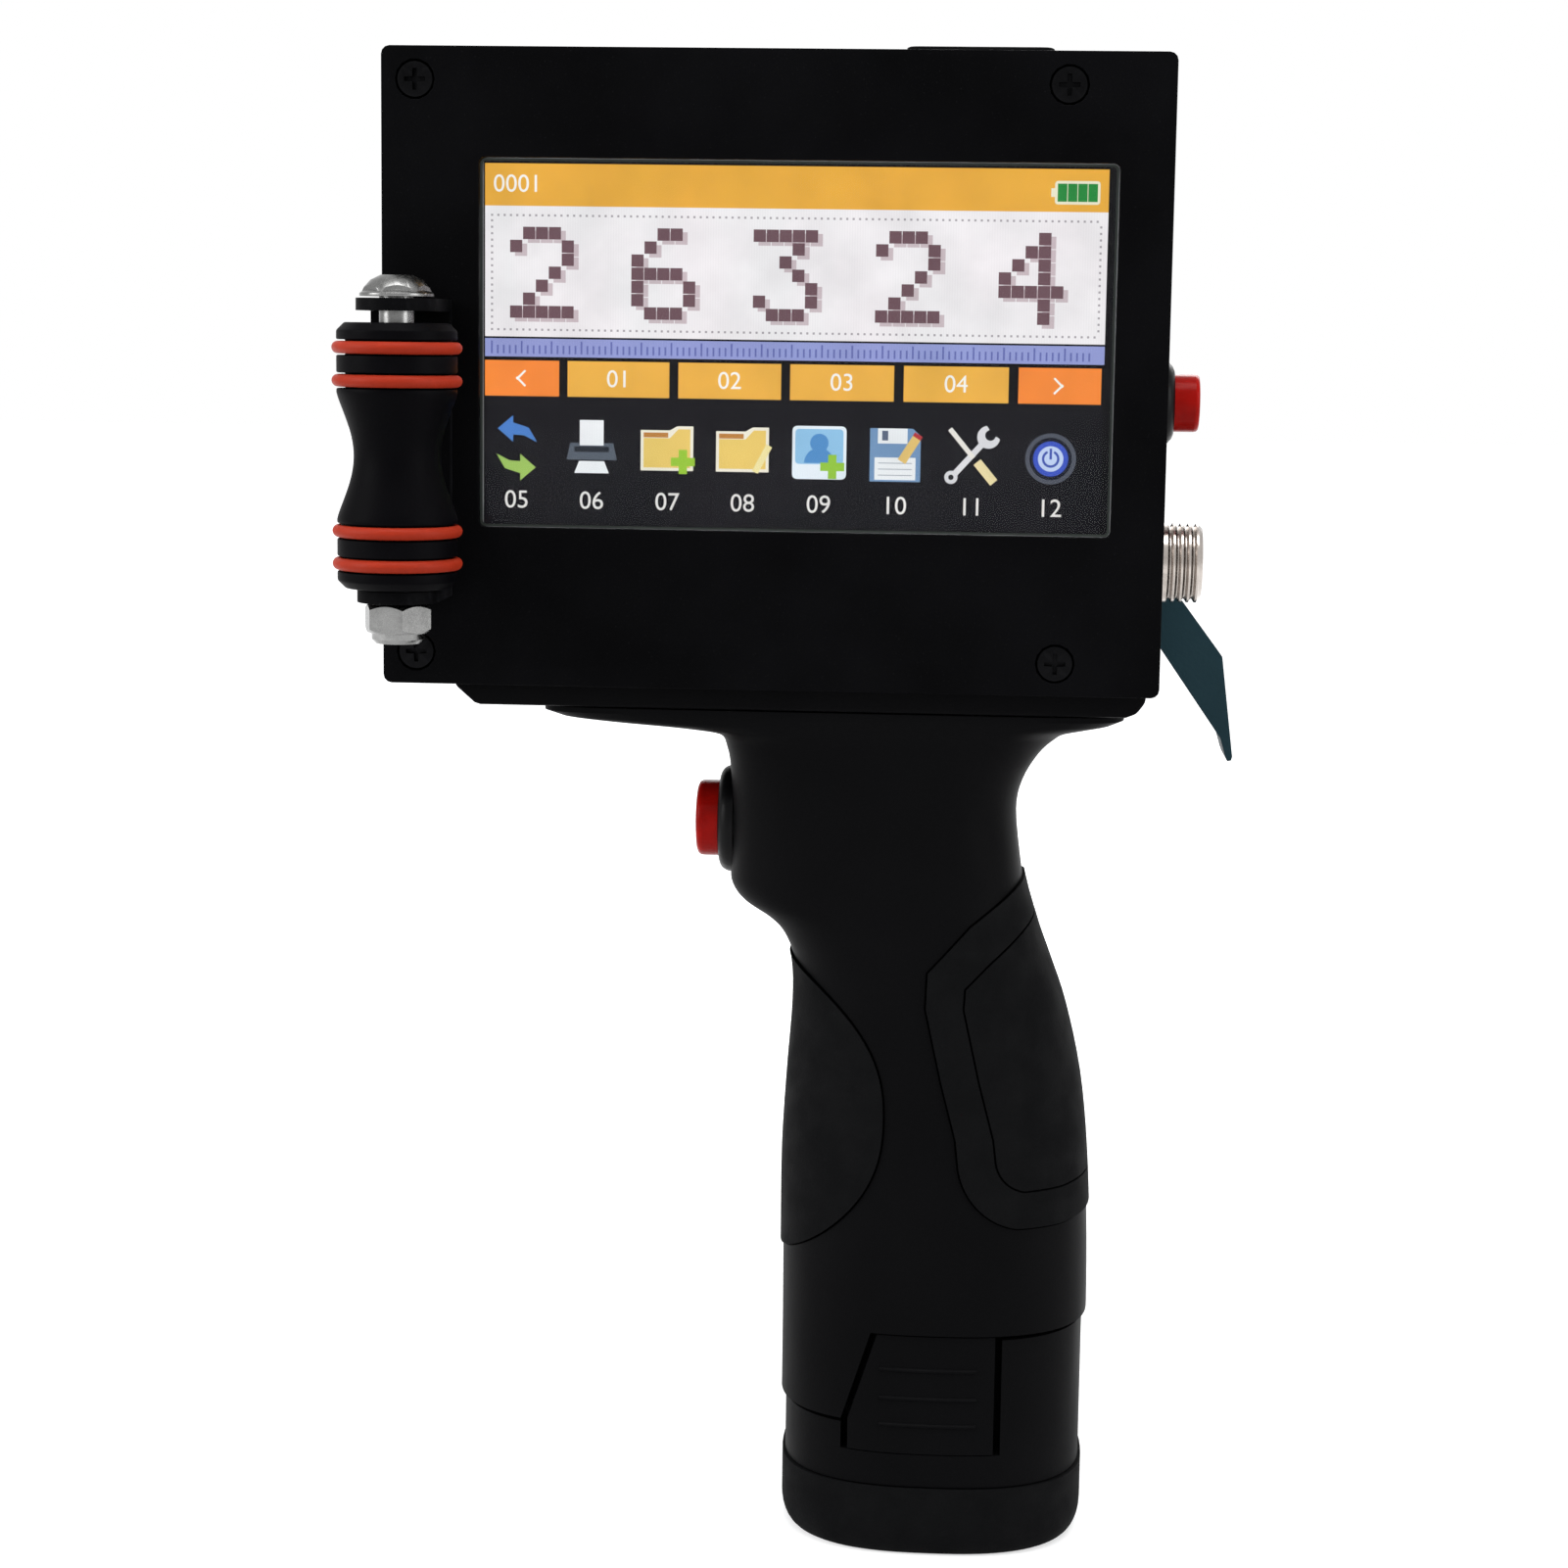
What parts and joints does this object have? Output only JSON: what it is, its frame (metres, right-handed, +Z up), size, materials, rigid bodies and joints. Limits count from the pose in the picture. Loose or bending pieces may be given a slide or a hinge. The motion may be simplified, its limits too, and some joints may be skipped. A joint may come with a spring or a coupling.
{
  "type": "handheld date code inkjet printer",
  "caption": "Handheld inkjet date coder with a touchscreen box on a pistol grip, a guide roller, a trigger, a slide-in cartridge and a clip-in battery.",
  "frame": {"origin": "on the ground, at the centre of the battery's foot", "axes": "+Z up, screen faces -Y, nozzles, roller and trigger face -X"},
  "size_m": [0.15, 0.0807, 0.2578],
  "materials": {
    "powder_coat": "satin",
    "black_plastic": "matte",
    "black_rubber": "matte",
    "glass": "gloss",
    "circuit_green": "satin",
    "zinc": "satin",
    "aluminium": "satin",
    "moulded_case": "satin",
    "grey_plastic": "satin",
    "black_steel": "satin",
    "red_gloss": "gloss",
    "orange_silicone": "matte",
    "teal_plastic": "matte",
    "copper": "satin",
    "cell_wrap": "satin"
  },
  "bodies": {
    "printer": {"bracket_screw_1": "black_steel", "bracket_screw_2": "black_steel", "cartridge_stall": "black_plastic", "case_frame": "moulded_case", "chassis_plate": "grey_plastic", "connector_insert": "black_plastic", "connector_shell": "zinc", "contact_board": "circuit_green", "display_module": "grey_plastic", "front_grip_pad": "black_rubber", "front_plate": "powder_coat", "handle_back_half": "black_plastic", "handle_contacts": "black_plastic", "handle_front_half": "black_plastic", "handle_screw_1": "black_steel", "handle_screw_2": "black_steel", "handle_screw_3": "black_steel", "latch_pin": "zinc", "main_board": "circuit_green", "nozzle_plate": "aluminium", "plate_screw_1": "black_steel", "plate_screw_2": "black_steel", "plate_screw_3": "black_steel", "plate_screw_4": "black_steel", "port_cover": "black_rubber", "power_bezel": "black_plastic", "rear_cover": "moulded_case", "rear_grip_band": "black_rubber", "rear_grip_pad": "black_rubber", "rear_screw_1": "black_steel", "rear_screw_2": "black_steel", "rear_screw_3": "black_steel", "rear_screw_4": "black_steel", "roller_bolt": "zinc", "roller_bracket": "powder_coat", "roller_nut": "zinc", "saddle_plate": "black_plastic", "touch_glass": "glass", "trigger_bezel": "black_plastic", "trigger_switch": "black_plastic"},
    "roller": {"roller": "black_plastic", "roller_ring_1": "orange_silicone", "roller_ring_2": "orange_silicone", "roller_ring_3": "orange_silicone", "roller_ring_4": "orange_silicone"},
    "trigger": {"trigger_cap": "red_gloss"},
    "power_button": {"power_cap": "red_gloss"},
    "latch_lever": {"stall_latch": "teal_plastic"},
    "cartridge": {"ink_cartridge": "black_plastic", "cartridge_cap": "black_plastic", "nozzle_strip": "copper"},
    "battery": {"battery_case": "black_plastic", "battery_foot": "black_rubber", "battery_terminal": "black_plastic", "battery_cell_1": "cell_wrap", "battery_cell_2": "cell_wrap", "battery_cell_3": "cell_wrap"},
    "battery_tab_front": {"battery_latch_front": "black_plastic"},
    "battery_tab_back": {"battery_latch_back": "black_plastic"}
  },
  "joints": [
    {"name": "roller_spin", "type": "hinge", "parent": "printer", "child": "roller", "pos_m": [-0.0893, -0.04215, 0.1906], "axis": [0, 0, 1], "continuous": true},
    {"name": "trigger_press", "type": "slide", "parent": "printer", "child": "trigger", "axis": [1, 0, 0], "range_m": [0, 0.0025], "stiffness_N_per_m": 600, "springref_m": -0.001},
    {"name": "power_press", "type": "slide", "parent": "printer", "child": "power_button", "axis": [-1, 0, 0], "range_m": [0, 0.0018], "stiffness_N_per_m": 600, "springref_m": -0.001},
    {"name": "latch_turn", "type": "hinge", "parent": "printer", "child": "latch_lever", "pos_m": [0.0275, 0.009, 0.1755], "axis": [0, -1, 0], "range_deg": [0, 94]},
    {"name": "cartridge_slide", "type": "slide", "parent": "printer", "child": "cartridge", "axis": [0, 1, 0], "range_m": [0, 0.032]},
    {"name": "battery_slide", "type": "slide", "parent": "printer", "child": "battery", "axis": [0, 0, -1], "range_m": [0, 0.075]},
    {"name": "tab_front_press", "type": "hinge", "parent": "battery", "child": "battery_tab_front", "pos_m": [0, -0.02325, 0.0186], "axis": [-1, 0, 0], "range_deg": [0, 4.5], "stiffness_Nm_per_rad": 0.6, "springref_deg": -1.15},
    {"name": "tab_back_press", "type": "hinge", "parent": "battery", "child": "battery_tab_back", "pos_m": [0, 0.02325, 0.0186], "axis": [1, 0, 0], "range_deg": [0, 4.5], "stiffness_Nm_per_rad": 0.6, "springref_deg": -1.15}
  ]
}
